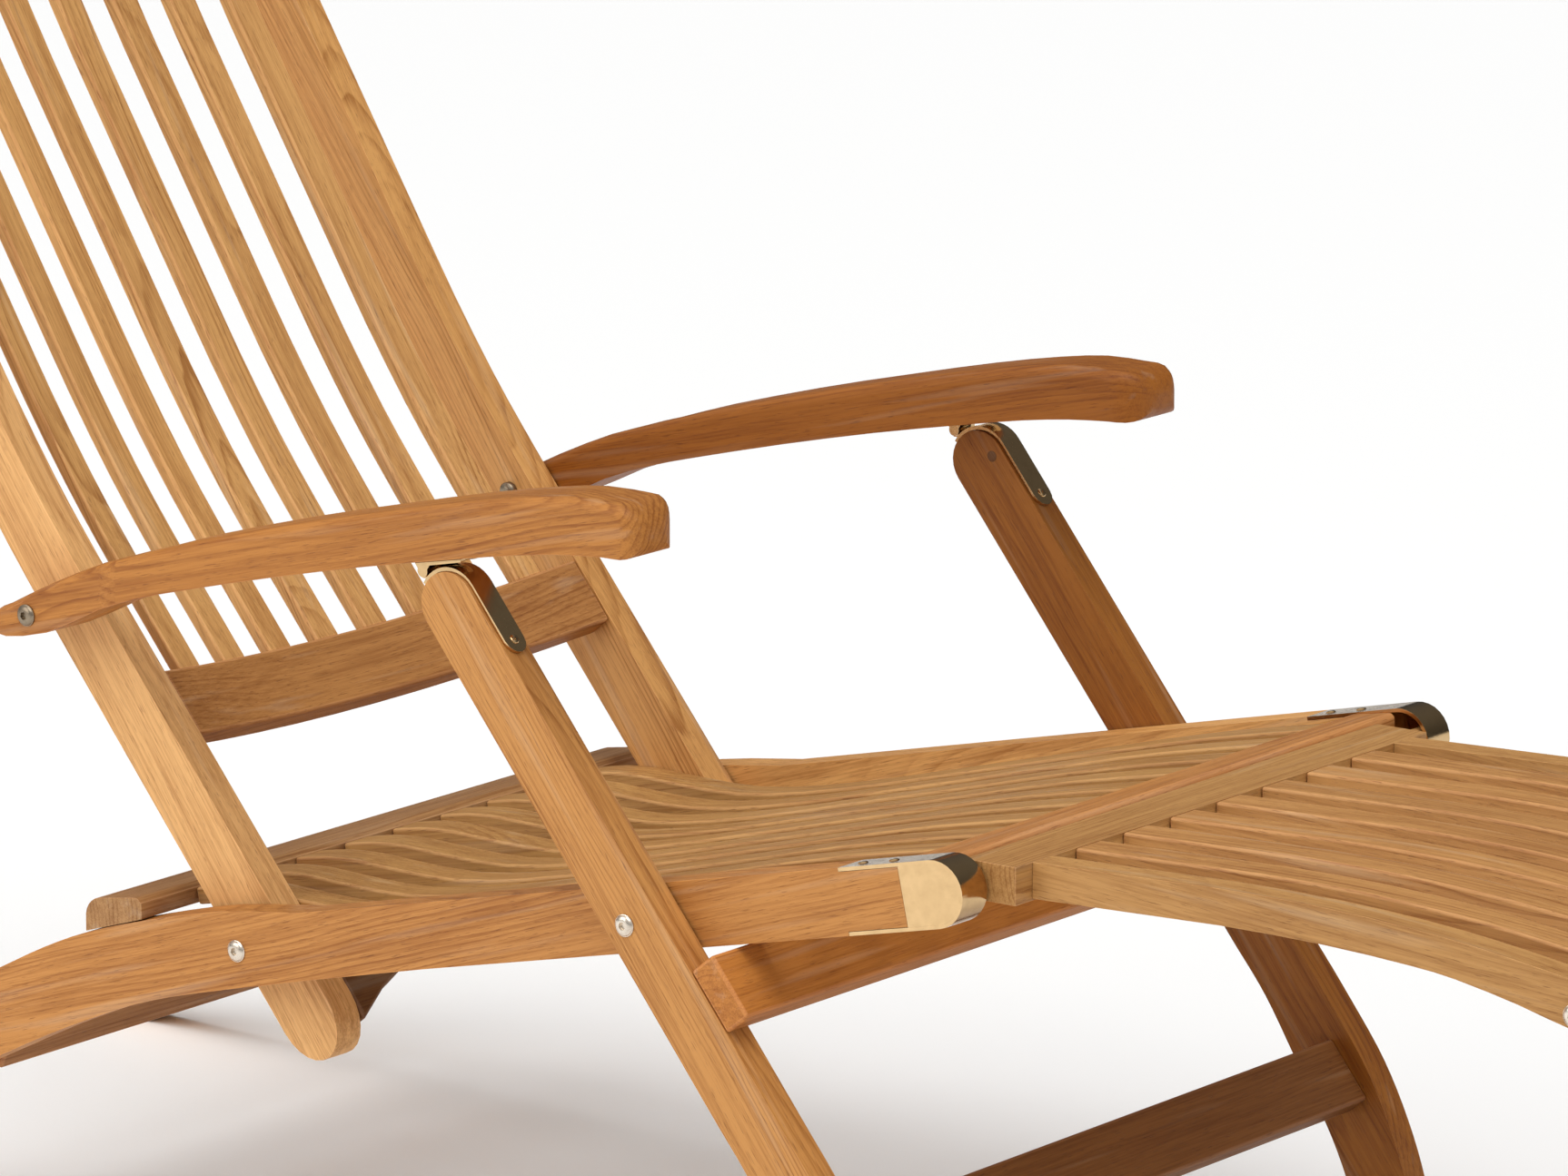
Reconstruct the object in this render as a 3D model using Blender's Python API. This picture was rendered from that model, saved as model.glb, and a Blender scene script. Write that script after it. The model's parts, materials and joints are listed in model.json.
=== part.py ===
"""Folding deck chair: slatted teak frame, brass hinges and sockets.

+X runs forward to the sitter's feet, +Y to the sitter's left, +Z up, in metres.
The origin lies on the ground under the middle of the chair.  Side profiles are
written as (x, z) in millimetres from the axis on which the backrest turns.
"""
import math

import bmesh
import bpy
from mathutils import Matrix, Vector

MM = 0.001

# Where the backrest axis stands: the whole chair is centred on x = 0.
BACK_AXIS_X = -0.2500
BACK_AXIS_Z = 0.2500
GROUND = -BACK_AXIS_Z / MM

# Layers across the chair, as distances from its middle plane (mm).
LEG_OUT, LEG_IN = 300.0, 277.0
RAIL_OUT, RAIL_IN = 275.0, 249.0
STILE_OUT, STILE_IN = 246.0, 221.0
ARM_IN, ARM_OUT_FRONT, ARM_OUT_REAR = 248.0, 302.0, 292.0
NOSE_X = 359.0
NOSE_R_IN, NOSE_R_OUT, NOSE_R_TOP, NOSE_R_UNDER = 26.0, 15.0, 19.0, 12.0
FOOT_OUT, FOOT_IN = 214.0, 192.0
FOOT_LEG_OUT, FOOT_LEG_IN = 189.5, 169.5
FOOT_CROSS = 231.5
# The footrest has side play in its sockets and stands pushed over to the right.
FOOT_SHIFT = -15.0
GAP = 0.3

# Pivots (mm from the backrest axis).  Back, arm, leg and seat rail are a parallelogram.
BACK_PIVOT = (0.0, 0.0)
LEG_PIVOT = (349.0, 77.5)
ARM_PIVOT = (-167.0, 209.0)
HINGE = (LEG_PIVOT[0] + ARM_PIVOT[0], LEG_PIVOT[1] + ARM_PIVOT[1])
FOOT_PIVOT = (587.0, 130.0)
FOOT_LEG_PIVOT = (1020.0, 112.0)

# Seat rail: straight bar along the line through the back and leg pivots.
RAIL_SLOPE = math.atan2(LEG_PIVOT[1], LEG_PIVOT[0])
RAIL_HALF = 22.0
RAIL_END = 564.5
TONGUE_START = 517.0
STRAP = 2.5
STRAP_Y, STRAP_HALF, STRAP_END = 288.5, 9.5, -29.0
SOCKET_CENTRE = 590.0

# Front leg: t runs down the leg, n forward across it.
LEG_SLOPE = math.atan2(ARM_PIVOT[1], -ARM_PIVOT[0])
LEG_REAR, LEG_FRONT = 304.7, 348.7
LEG_TOP = -81.0

# Backrest panel.
BACK_BOW = 20.0
STILE_W, STILE_TAPER = 47.0, 6.0
BOTTOM_RAIL = (128.0, 167.0)
TOP_RAIL = (598.0, 655.0)
BACK_RAIL_T = 20.0
BACK_SLATS, BACK_PITCH, BACK_SLAT_W, BACK_SLAT_T = 8, 52.0, 24.0, 9.5
SEAT_SLATS, SEAT_PITCH, SEAT_SLAT_W, SEAT_SLAT_T = 9, 51.5, 28.0, 12.0
FOOT_START, FOOT_SLAT_END = 618.0, 1063.0
FOOT_SLATS, FOOT_PITCH, FOOT_SLAT_W, FOOT_SLAT_T = 7, 51.5, 28.0, 12.0
FOOT_LEG_HALF, FOOT_LEG_LEAN = 10.5, 9.0

BOLT_R, BOLT_HOLE_R, BOLT_HEAD_R = 4.0, 4.3, 7.0

TEAK = (0.60, 0.36, 0.17)
TEAK_DARK = (0.46, 0.25, 0.10)
BRASS = (0.78, 0.62, 0.36)
STEEL = (0.62, 0.58, 0.50)


# ---------------------------------------------------------------- helpers

def clear_scene():
    for thing in list(bpy.data.objects):
        bpy.data.objects.remove(thing, do_unlink=True)


def material(name, colour, roughness, metallic):
    mat = bpy.data.materials.new(name)
    mat.use_nodes = True
    shader = mat.node_tree.nodes["Principled BSDF"]
    shader.inputs["Base Color"].default_value = (*colour, 1.0)
    shader.inputs["Roughness"].default_value = roughness
    shader.inputs["Metallic"].default_value = metallic
    return mat


def world(x, y, z):
    """World position of a point given in mm from the backrest axis."""
    return Vector((BACK_AXIS_X + x * MM, y * MM, BACK_AXIS_Z + z * MM))


def body(name, pivot, parent=None):
    """Empty on a joint axis; the pieces of one moving body hang on it."""
    empty = bpy.data.objects.new(name, None)
    bpy.context.scene.collection.objects.link(empty)
    empty["place"] = tuple(world(pivot[0], 0.0, pivot[1]))
    empty.parent = parent
    base = Vector(parent["place"]) if parent else Vector((0.0, 0.0, 0.0))
    empty.location = Vector(empty["place"]) - base
    return empty


def finish_piece(name, mesh_bm, owner, mat):
    """Closed mesh in world metres becomes an object whose origin is its body's axis."""
    bmesh.ops.recalc_face_normals(mesh_bm, faces=mesh_bm.faces)
    place = Vector(owner["place"])
    for vert in mesh_bm.verts:
        vert.co -= place
    mesh = bpy.data.meshes.new(name)
    mesh_bm.to_mesh(mesh)
    mesh_bm.free()
    mesh.materials.append(mat)
    piece = bpy.data.objects.new(name, mesh)
    bpy.context.scene.collection.objects.link(piece)
    piece.parent = owner
    mesh.shade_smooth()
    mesh.set_sharp_from_angle(angle=math.radians(35))
    return piece


def loft(name, rings, owner, mat):
    """Closed body through equal rings of points, capped at both ends."""
    bm = bmesh.new()
    loops = [[bm.verts.new(point) for point in ring] for ring in rings]
    count = len(loops[0])
    for first, second in zip(loops, loops[1:]):
        for i in range(count):
            j = (i + 1) % count
            bm.faces.new((first[i], first[j], second[j], second[i]))
    bm.faces.new(loops[0])
    bm.faces.new(loops[-1])
    return finish_piece(name, bm, owner, mat)


def board(name, outline, y_from, y_to, owner, mat):
    """Side outline (mm) pushed straight across the chair."""
    rings = [[world(x, y, z) for x, z in outline] for y in (y_from, y_to)]
    return loft(name, rings, owner, mat)


def spline(points, steps):
    """Smooth curve through a few points (Catmull-Rom), ends included."""
    line = [points[0], *points, points[-1]]
    curve = []
    for p0, p1, p2, p3 in zip(line, line[1:], line[2:], line[3:]):
        for k in range(steps):
            u = k / steps
            curve.append(tuple(
                0.5 * (2 * b + (c - a) * u + (2 * a - 5 * b + 4 * c - d) * u * u
                       + (3 * b - a - 3 * c + d) * u ** 3)
                for a, b, c, d in zip(p0, p1, p2, p3)))
    curve.append(points[-1])
    return curve


def offset(curve, distance):
    """Curve moved sideways; a positive distance moves it to its left."""
    moved = []
    for i, (x, z) in enumerate(curve):
        ax, az = curve[max(i - 1, 0)]
        bx, bz = curve[min(i + 1, len(curve) - 1)]
        length = math.hypot(bx - ax, bz - az)
        moved.append((x - (bz - az) / length * distance, z + (bx - ax) / length * distance))
    return moved


def arc(centre, radius, start, end, steps):
    """Points on an arc, angles in degrees."""
    points = []
    for k in range(steps + 1):
        a = math.radians(start + (end - start) * k / steps)
        points.append((centre[0] + radius * math.cos(a), centre[1] + radius * math.sin(a)))
    return points


def stretched(point, centre, direction, factor):
    """Point moved away from a centre along one direction, given in degrees."""
    c, s = math.cos(math.radians(direction)), math.sin(math.radians(direction))
    more = (factor - 1.0) * ((point[0] - centre[0]) * c + (point[1] - centre[1]) * s)
    return (point[0] + more * c, point[1] + more * s)


def on_rail(s, t):
    """Point s along the seat rail from the backrest axis and t above its centre line."""
    c, n = math.cos(RAIL_SLOPE), math.sin(RAIL_SLOPE)
    return (s * c - t * n, s * n + t * c)


def on_leg(t, n):
    """Point t down the front leg and n forward across it."""
    c, s = math.cos(LEG_SLOPE), math.sin(LEG_SLOPE)
    return (t * c + n * s, -t * s + n * c)


def drill(piece, pivot, radius=BOLT_HOLE_R):
    """Bolt hole across the piece on a pivot axis."""
    bm = bmesh.new()
    bmesh.ops.create_cone(bm, cap_ends=True, segments=16, radius1=radius * MM,
                          radius2=radius * MM, depth=0.8)
    bmesh.ops.rotate(bm, verts=bm.verts, matrix=Matrix.Rotation(math.pi / 2, 3, 'X'))
    bmesh.ops.translate(bm, verts=bm.verts, vec=world(pivot[0], 0.0, pivot[1]))
    mesh = bpy.data.meshes.new(piece.name + "_drill")
    bm.to_mesh(mesh)
    bm.free()
    cutter = bpy.data.objects.new(piece.name + "_drill", mesh)
    bpy.context.scene.collection.objects.link(cutter)
    cutter.hide_render = True
    cutter.display_type = 'WIRE'
    cut = piece.modifiers.new("bolt_hole", 'BOOLEAN')
    cut.operation = 'DIFFERENCE'
    cut.solver = 'EXACT'
    cut.object = cutter


def turned(name, profile, pivot, side, owner, mat, segments=16):
    """Round piece on a pivot axis; profile is (distance from middle plane, radius) in mm."""
    rings = []
    for y, radius in profile:
        ring = [world(pivot[0] + radius * math.cos(2 * math.pi * k / segments), side * y,
                      pivot[1] + radius * math.sin(2 * math.pi * k / segments))
                for k in range(segments)]
        rings.append(ring)
    return loft(name, rings, owner, mat)


def join(piece, other):
    """Other becomes part of piece as one closed body."""
    weld = piece.modifiers.new("join_" + other.name, 'BOOLEAN')
    weld.operation = 'UNION'
    weld.solver = 'EXACT'
    weld.object = other
    other.hide_render = True
    other.display_type = 'WIRE'


# ---------------------------------------------------------------- seat frame

def side_rail_outline():
    """Straight seat rail that runs on behind the sitter as the curved rear leg."""
    top = [on_rail(60.0, RAIL_HALF), (-18.0, 24.0), (-83.0, 7.6), (-133.0, -8.0),
           (-172.0, -24.5), (-212.0, -45.0), (-280.0, -80.0), (-370.0, -125.0),
           (-460.0, -164.0), (-545.0, -200.0), (-582.0, -220.0), (-600.0, GROUND)]
    under = [(-548.0, GROUND), (-500.0, -232.0), (-440.0, -208.0), (-360.0, -175.0),
             (-280.0, -140.0), (-212.0, -106.5), (-170.0, -85.5), (-129.0, -67.0),
             (-88.0, -50.5), (-40.0, -36.0), on_rail(60.0, -RAIL_HALF - 1.5),
             on_rail(160.0, -RAIL_HALF)]
    front = [on_rail(TONGUE_START, -RAIL_HALF), on_rail(TONGUE_START, -RAIL_HALF + STRAP + GAP),
             on_rail(RAIL_END, -RAIL_HALF + STRAP + GAP), on_rail(RAIL_END, RAIL_HALF - STRAP - GAP),
             on_rail(TONGUE_START, RAIL_HALF - STRAP - GAP), on_rail(TONGUE_START, RAIL_HALF)]
    return spline(top, 3) + spline(under, 3) + front


def hinge_socket(label, side, owner, mat):
    """Brass end of a seat rail: strap around the nose, let in along both edges, one D plate."""
    centre = on_rail(SOCKET_CENTRE, 0.0)
    tilt = math.degrees(RAIL_SLOPE)
    start = TONGUE_START + GAP
    outside = arc(centre, RAIL_HALF, tilt + 90.0, tilt - 90.0, 14)
    inside = arc(centre, RAIL_HALF - STRAP, tilt - 90.0, tilt + 90.0, 14)
    strap = ([on_rail(start, RAIL_HALF)] + outside + [on_rail(start, -RAIL_HALF)]
             + [on_rail(start, -RAIL_HALF + STRAP)] + inside + [on_rail(start, RAIL_HALF - STRAP)])
    plate = ([on_rail(RAIL_END + GAP, RAIL_HALF - 1.0)]
             + arc(centre, RAIL_HALF - 1.0, tilt + 90.0, tilt - 90.0, 14)
             + [on_rail(RAIL_END + GAP, -RAIL_HALF + 1.0)])
    socket = board(label + "_hinge_socket", strap, side * RAIL_IN, side * RAIL_OUT, owner, mat)
    cover = board(label + "_socket_plate", plate, side * (RAIL_OUT - STRAP),
                  side * (RAIL_OUT - 0.1), owner, mat)
    join(socket, cover)


def seat_profile():
    """Top line of a seat slat: a low hump at the back, a dip, then up to the front rail."""
    return spline([(-83.6, 19.5), (-58.0, 24.5), (-28.0, 26.5), (10.0, 25.5), (60.0, 26.5),
                   (118.0, 36.0), (187.0, 52.5), (260.0, 72.0), (373.0, 102.0),
                   (460.0, 124.0), (536.6, 140.0)], 2)


def seat_frame(owner, wood, brass, steel):
    rail = side_rail_outline()
    for label, side in (("left", 1), ("right", -1)):
        piece = board(label + "_side_rail", rail, side * RAIL_IN, side * RAIL_OUT, owner, wood)
        drill(piece, BACK_PIVOT)
        drill(piece, LEG_PIVOT)
        hinge_socket(label, side, owner, brass)
        turned(label + "_back_bolt",
               [(STILE_IN - 6.0, 4.5), (STILE_IN - 5.0, 6.5), (STILE_IN - GAP, 6.5),
                (STILE_IN - GAP, BOLT_R), (RAIL_OUT + GAP, BOLT_R),
                (RAIL_OUT + GAP, BOLT_HEAD_R), (RAIL_OUT + 1.8, BOLT_HEAD_R), (RAIL_OUT + 3.0, 5.0)],
               BACK_PIVOT, side, owner, steel)
        turned(label + "_leg_bolt",
               [(RAIL_IN - 5.0, 4.5), (RAIL_IN - 4.0, 6.5), (RAIL_IN - GAP, 6.5),
                (RAIL_IN - GAP, BOLT_R), (LEG_OUT + GAP, BOLT_R),
                (LEG_OUT + GAP, BOLT_HEAD_R), (LEG_OUT + 1.8, BOLT_HEAD_R), (LEG_OUT + 3.0, 5.0)],
               LEG_PIVOT, side, owner, steel)
    rear = ([(-133.8, -7.2), (-84.0, 8.4), (-84.0, 19.5)] + arc((-90.0, 16.5), 6.0, 30.0, 95.0, 3)
            + arc((-119.5, 3.5), 14.3, 100.0, 175.0, 5))
    board("seat_rear_rail", rear, -RAIL_OUT, RAIL_OUT, owner, wood)
    front = [(543.2, 114.0), (572.0, 120.0), (572.0, 144.0), (569.0, 146.5), (537.2, 141.0)]
    board("seat_front_rail", front, -RAIL_IN + GAP, RAIL_IN - GAP, owner, wood)
    brace = [(-238.0, -127.0), (-220.0, -88.0), (-240.0, -79.0), (-258.0, -118.0)]
    board("rear_leg_stretcher", brace, -RAIL_IN + GAP, RAIL_IN - GAP, owner, wood)
    top = seat_profile()
    slat = top + offset(top, -SEAT_SLAT_T)[::-1]
    for i in range(SEAT_SLATS):
        middle = (i - (SEAT_SLATS - 1) / 2) * SEAT_PITCH
        board("seat_slat_%d" % (i + 1), slat, middle - SEAT_SLAT_W / 2, middle + SEAT_SLAT_W / 2,
              owner, wood)


# ---------------------------------------------------------------- backrest

def back_front_line():
    """Front edge of the backrest stiles, from below the pivot to the top."""
    return spline([(53.0, -31.0), (-20.0, 59.0), (-98.0, 155.0), (-142.0, 209.0),
                   (-174.5, 250.0), (-203.0, 288.0), (-238.0, 340.0), (-273.0, 397.0),
                   (-307.0, 453.0), (-362.0, 543.0), (-397.0, 605.0), (-428.5, 664.0)], 2)


def bow(y):
    """How far back the middle of the panel lies behind its sides."""
    return BACK_BOW * (1.0 - (y / STILE_IN) ** 2)


def between(curve, low, high):
    """Part of a rising curve between two heights, cut exactly at both."""
    part = []
    for (ax, az), (bx, bz) in zip(curve, curve[1:]):
        for z in (low, high):
            if az <= z < bz:
                part.append((ax + (bx - ax) * (z - az) / (bz - az), z))
        if low < bz < high:
            part.append((bx, bz))
    return part


def back_bar(name, part, front_gap, thickness, owner, mat, steps=10, arch=None):
    """Cross rail of the backrest, bowed backwards along the stiles' front line."""
    rings = []
    for k in range(steps + 1):
        y = -STILE_IN + GAP + 2 * (STILE_IN - GAP) * k / steps
        rise = arch(y) if arch else 0.0
        face = offset(part, front_gap + bow(y))
        back = offset(part, front_gap + bow(y) + thickness)
        ux, uz = part[-1][0] - part[-2][0], part[-1][1] - part[-2][1]
        length = math.hypot(ux, uz)
        face[-1] = (face[-1][0] + ux / length * rise, face[-1][1] + uz / length * rise)
        back[-1] = (back[-1][0] + ux / length * rise, back[-1][1] + uz / length * rise)
        rings.append([world(x, y, z) for x, z in face + back[::-1]])
    return loft(name, rings, owner, mat)


def backrest(owner, wood, steel):
    front = back_front_line()
    widths = [STILE_W - STILE_TAPER * min(1.0, max(0.0, z / 600.0)) for x, z in front]
    rear = [offset(front, w)[i] for i, w in enumerate(widths)]
    tip = ((front[0][0] + rear[0][0]) / 2, (front[0][1] + rear[0][1]) / 2)
    slope = math.degrees(math.atan2(front[0][1] - rear[0][1], front[0][0] - rear[0][0]))
    lower = arc(tip, STILE_W / 2, slope - 180.0, slope, 12)[1:-1]
    lower = [stretched(point, tip, slope - 90.0, 1.35) for point in lower]
    top_mid = ((front[-1][0] + rear[-1][0]) / 2, (front[-1][1] + rear[-1][1]) / 2)
    upper = arc(top_mid, widths[-1] / 2, 23.0, 157.0 + 46.0, 8)[1:-1]
    outline = front + upper + rear[::-1] + lower
    for label, side in (("left", 1), ("right", -1)):
        piece = board(label + "_stile", outline, side * STILE_IN, side * STILE_OUT, owner, wood)
        drill(piece, BACK_PIVOT)
        drill(piece, ARM_PIVOT)
        turned(label + "_arm_bolt",
               [(STILE_IN - 6.0, 4.5), (STILE_IN - 5.0, 6.5), (STILE_IN - GAP, 6.5),
                (STILE_IN - GAP, BOLT_R), (ARM_OUT_REAR + GAP, BOLT_R),
                (ARM_OUT_REAR + GAP, BOLT_HEAD_R), (ARM_OUT_REAR + 1.8, BOLT_HEAD_R),
                (ARM_OUT_REAR + 3.2, 4.5)],
               ARM_PIVOT, side, owner, steel)
    back_bar("back_bottom_rail", between(front, *BOTTOM_RAIL), 0.5, BACK_RAIL_T, owner, wood)
    back_bar("back_top_rail", between(front, *TOP_RAIL), 0.5, BACK_RAIL_T, owner, wood,
             arch=lambda y: 10.0 * (1.0 - (y / STILE_IN) ** 2))
    stop_rail(owner, wood)
    line = between(front, BOTTOM_RAIL[1], TOP_RAIL[0])
    for i in range(BACK_SLATS):
        middle = (i - (BACK_SLATS - 1) / 2) * BACK_PITCH
        rings = []
        for y in (middle - BACK_SLAT_W / 2, middle, middle + BACK_SLAT_W / 2):
            face = offset(line, 6.0 + bow(y))
            back = offset(line, 6.0 + bow(y) + BACK_SLAT_T)
            face[0], back[0] = trim_end(face, 0), trim_end(back, 0)
            face[-1], back[-1] = trim_end(face, -1), trim_end(back, -1)
            rings.append([world(x, y, z) for x, z in face + back[::-1]])
        loft("back_slat_%d" % (i + 1), rings, owner, wood)


def trim_end(curve, end):
    """End point of a curve pulled in by the fitting gap."""
    last, inner = (curve[0], curve[1]) if end == 0 else (curve[-1], curve[-2])
    length = math.hypot(inner[0] - last[0], inner[1] - last[1])
    pull = GAP / length
    return (last[0] + (inner[0] - last[0]) * pull, last[1] + (inner[1] - last[1]) * pull)


def stop_rail(owner, wood):
    """Board between the lower stile ends; its top edge meets the seat slats from below."""
    c, s = math.cos(LEG_SLOPE), math.sin(LEG_SLOPE)
    rings = []
    steps = 14
    for k in range(steps + 1):
        y = -STILE_IN + GAP + 2 * (STILE_IN - GAP) * k / steps
        inward = min(1.0, (STILE_IN - abs(y)) / 85.0)
        low = 78.0 - 30.0 * math.sin(inward * math.pi / 2)
        corners = [(1.5, 10.0), (1.5, 22.0), (low, 22.0), (low, 10.0)]
        rings.append([world(u * c + n * s, y, -u * s + n * c) for u, n in corners])
    loft("back_stop_rail", rings, owner, wood)


# ---------------------------------------------------------------- front legs

def front_leg_outline():
    """Round top, long straight shank, foot that turns towards the vertical."""
    turn = math.degrees(LEG_SLOPE)
    half = (LEG_FRONT - LEG_REAR) / 2
    top = arc(on_leg(LEG_TOP, LEG_REAR + half), half, 270.0 - turn, 90.0 - turn, 14)
    front = spline([on_leg(330.0, LEG_FRONT), on_leg(365.0, LEG_FRONT), (533.0, -112.0),
                    (557.0, -160.0), (573.0, -208.0), (584.0, GROUND)], 5)
    rear = spline([(541.0, GROUND), (526.0, -211.0), (506.0, -166.0), (478.0, -120.0),
                   on_leg(340.0, LEG_REAR), on_leg(300.0, LEG_REAR)], 5)
    return top + front + rear


def leg_strap(label, side, owner, brass):
    """Brass strap bent over the leg top, with the hinge knuckle behind its crown."""
    turn = math.degrees(LEG_SLOPE)
    half = (LEG_FRONT - LEG_REAR) / 2
    centre = on_leg(LEG_TOP, LEG_REAR + half)
    inner, outer = half + GAP, half + GAP + STRAP
    crown = math.degrees(math.atan2(HINGE[1] - centre[1], HINGE[0] - centre[0]))
    first, last = crown + 12.0, 90.0 - turn
    turned_over = list(zip(arc(centre, outer, first, last, 12), arc(centre, inner, first, last, 12)))
    stations = [(face, under, STRAP_HALF) for face, under in turned_over]
    for angle in (0.0, 25.0, 50.0, 70.0, 85.0):
        a = math.radians(angle)
        t = STRAP_END - STRAP_HALF * (1.0 - math.sin(a))
        stations.append((on_leg(t, LEG_FRONT + GAP + STRAP), on_leg(t, LEG_FRONT + GAP),
                         STRAP_HALF * math.cos(a)))
    rings = []
    for face, under, width in stations:
        near, far = side * (STRAP_Y - width), side * (STRAP_Y + width)
        rings.append([world(face[0], near, face[1]), world(face[0], far, face[1]),
                      world(under[0], far, under[1]), world(under[0], near, under[1])])
    strap = loft(label + "_leg_strap", rings, owner, brass)
    tongue = [(HINGE[0] + 2.5, HINGE[1] - 6.0), (HINGE[0] + 4.2, HINGE[1]),
              (HINGE[0] - 4.2, HINGE[1]), (HINGE[0] - 4.2, HINGE[1] - 6.0)]
    knuckle = board(label + "_strap_knuckle", arc(HINGE, 4.2, 0.0, 180.0, 8) + tongue[2:] + tongue[:1],
                    side * 284.5, side * 292.5, owner, brass)
    join(strap, knuckle)


def front_legs(owner, wood, wood_dark, brass):
    outline = front_leg_outline()
    for label, side in (("left", 1), ("right", -1)):
        leg = board(label + "_front_leg", outline, side * LEG_IN, side * LEG_OUT, owner, wood)
        drill(leg, LEG_PIVOT)
        leg_strap(label, side, owner, brass)
    upper = [on_leg(207.8, LEG_FRONT + GAP), on_leg(254.0, LEG_FRONT + GAP),
             on_leg(254.0, LEG_FRONT + 22.0), on_leg(207.8, LEG_FRONT + 22.0)]
    board("upper_stretcher", upper, -LEG_OUT, LEG_OUT, owner, wood_dark)
    lower = [on_leg(390.0, 315.0), on_leg(438.0, 315.0), on_leg(438.0, 335.0), on_leg(390.0, 335.0)]
    board("lower_stretcher", lower, -LEG_IN + GAP, LEG_IN - GAP, owner, wood_dark)


# ---------------------------------------------------------------- arms

def arm_ring(x, top, under, y_in, y_out, side):
    """Section of an arm: flat underside, softly rounded top edges."""
    soft = min(8.0, (top - under) * 0.4, (y_out - y_in) * 0.4)
    points = [(y_in, under), (y_out, under), (y_out, top - soft)]
    points += [(y_out - soft * (1 - math.cos(a)), top - soft * (1 - math.sin(a)))
               for a in (math.pi / 6, math.pi / 3)]
    points += [(y_out - soft, top), (y_in + soft, top)]
    points += [(y_in + soft * (1 - math.sin(a)), top - soft * (1 - math.cos(a)))
               for a in (math.pi / 6, math.pi / 3)]
    points += [(y_in, top - soft)]
    return [world(x, side * y, z) for y, z in points]


def arm_sections():
    """Places along an arm: x, top z, underside z."""
    top = spline([(-186.0, 214.0), (-150.0, 232.0), (-102.0, 252.5), (-62.0, 265.0),
                  (-20.0, 278.5), (57.0, 299.5), (135.0, 318.5), (208.0, 335.0),
                  (262.0, 345.5), (302.0, 351.0), (NOSE_X - NOSE_R_IN, 351.0)], 2)
    under = spline([(-186.0, 192.0), (-158.0, 196.5), (-134.0, 206.0), (-102.0, 221.5),
                    (-62.0, 235.5), (-20.0, 247.0), (57.0, 266.0), (135.0, 283.5),
                    (208.0, 298.0), (262.0, 308.0), (302.0, 313.5), (NOSE_X - NOSE_R_IN, 316.0)], 2)
    places = []
    for x, z in top:
        for (ax, az), (bx, bz) in zip(under, under[1:]):
            if ax <= x <= bx:
                places.append((x, z, az + (bz - az) * (x - ax) / (bx - ax)))
                break
    for angle in (18.0, 32.0, 44.0, 55.0, 65.0, 74.0, 82.0, 88.0):
        x = NOSE_X - NOSE_R_IN * (1.0 - math.sin(math.radians(angle)))
        places.append((x, 351.0 - corner(x, NOSE_R_TOP), 316.0 + corner(x, NOSE_R_UNDER)))
    mid, half = (214.0 + 192.0) / 2, (214.0 - 192.0) / 2
    for angle in (35.0, 65.0):
        a = math.radians(angle)
        drop = 2.0 * math.sin(a)
        places.insert(0, (-186.0 - 13.0 * math.sin(a), mid + half * math.cos(a) - drop,
                          mid - half * math.cos(a) - drop))
    return places


def corner(x, radius):
    """How far a round corner of the nose has turned in at x."""
    along = max(0.0, x - (NOSE_X - radius))
    return radius - math.sqrt(radius * radius - along * along)


def arm_outer(x):
    """Outer face of an arm: thinner behind the backrest, full width to the front."""
    if x < -104.0:
        return ARM_OUT_REAR
    if x < -88.0:
        return ARM_OUT_REAR + 6.0 * (x + 104.0) / 16.0
    return ARM_OUT_REAR + 6.0 + (ARM_OUT_FRONT - ARM_OUT_REAR - 6.0) * min(1.0, (x + 88.0) / 300.0)


def arms(owners, wood, brass):
    places = arm_sections()
    for label, side in (("left", 1), ("right", -1)):
        rings = [arm_ring(x, top, under, ARM_IN + corner(x, NOSE_R_IN),
                          arm_outer(x) - corner(x, NOSE_R_OUT), side)
                 for x, top, under in places]
        arm = loft(label + "_arm", rings, owners[label], wood)
        drill(arm, ARM_PIVOT)
        leaf = [(175.5, 291.3), (214.0, 298.6), (214.0, 296.4), (188.0, 291.0)]
        leaf += arc(HINGE, 4.2, 20.0, -200.0, 12)
        plate = board(label + "_arm_hinge", leaf, side * 293.0, side * 298.0, owners[label], brass)
        inner = board(label + "_arm_hinge_inner", leaf, side * 279.0, side * 284.0,
                      owners[label], brass)
        bridge = board(label + "_arm_hinge_bridge",
                       [(178.0, 291.4), (213.0, 298.0), (213.0, 296.6), (189.0, 291.6)],
                       side * 280.0, side * 297.0, owners[label], brass)
        join(plate, inner)
        join(plate, bridge)


# ---------------------------------------------------------------- footrest

def foot_top_line():
    """Top of the footrest: a gentle arch that falls away towards the feet."""
    return spline([(FOOT_START + GAP, 146.0), (690.0, 148.5), (760.0, 151.0), (836.0, 151.0),
                   (900.0, 148.0),
                   (950.0, 143.5), (1007.0, 136.0), (FOOT_SLAT_END, 126.8), (1100.0, 120.0)], 2)


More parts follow.
